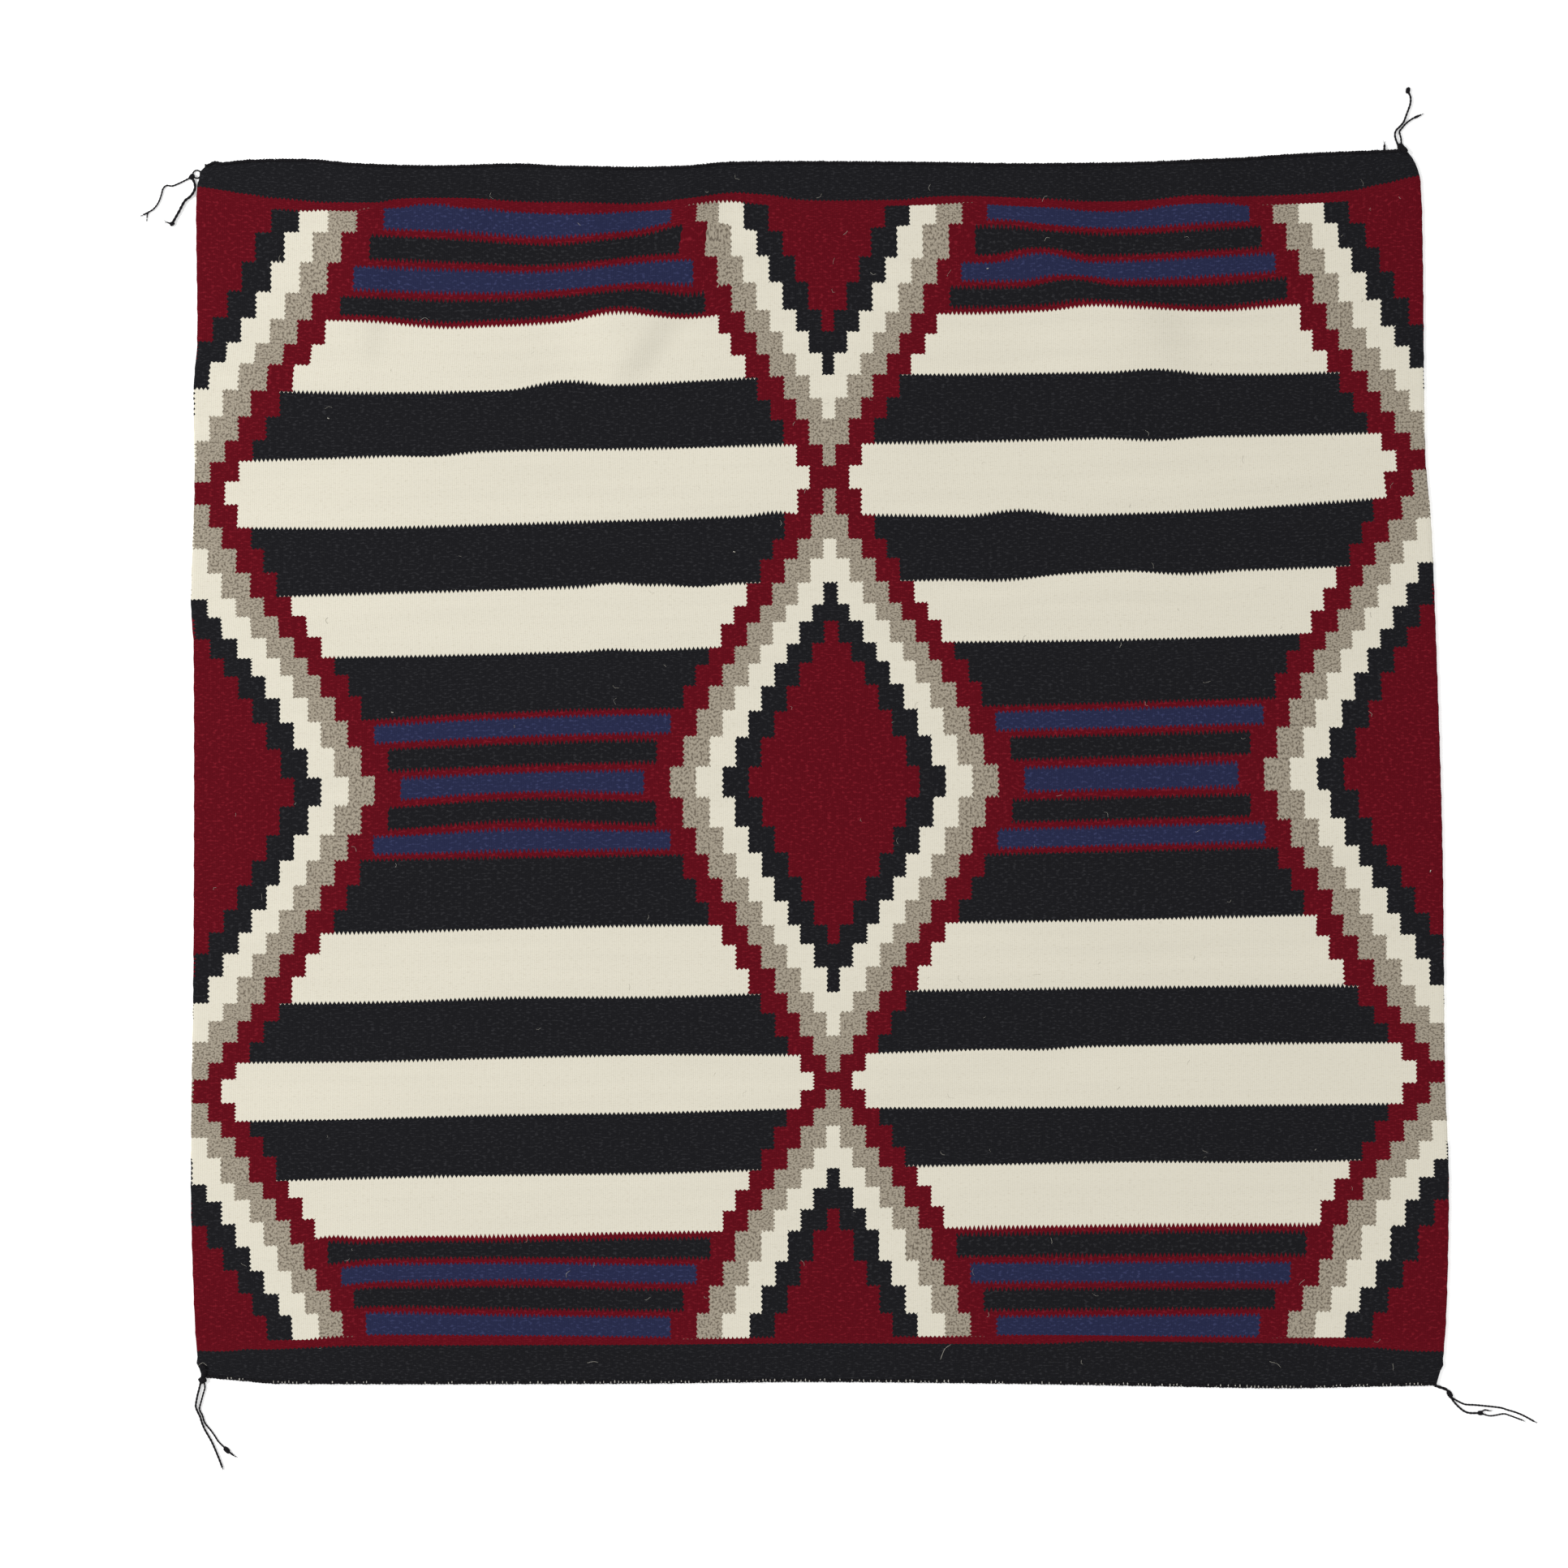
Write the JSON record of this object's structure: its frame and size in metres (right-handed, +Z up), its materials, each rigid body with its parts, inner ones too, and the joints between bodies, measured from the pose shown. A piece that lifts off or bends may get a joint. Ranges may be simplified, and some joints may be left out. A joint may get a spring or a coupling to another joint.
{
  "type": "navajo rug",
  "caption": "Flat hand-woven wool rug with a stepped-diamond and stripe pattern, a twined cord along each end and a knotted corner tassel at each corner.",
  "frame": {"origin": "middle of the web's underside, halfway between its four edges", "axes": "+X along the wefts, towards the right of the rug as it is looked at; +Y along the warps, towards the top end; +Z up out of the rug's face"},
  "size_m": [1.5443, 1.5297, 0.0069],
  "materials": {
    "rug_wool": "weft-faced hand-spun wool, matt, crimson with cream, black, grey and navy blue areas",
    "black_yarn": "twisted black wool yarn, matt"
  },
  "bodies": {
    "root": {"web": "rug_wool", "end_cord_top": "black_yarn", "end_cord_bottom": "black_yarn", "tassel_top_left": "black_yarn", "tassel_top_right": "black_yarn", "tassel_bottom_left": "black_yarn", "tassel_bottom_right": "black_yarn"}
  },
  "joints": []
}
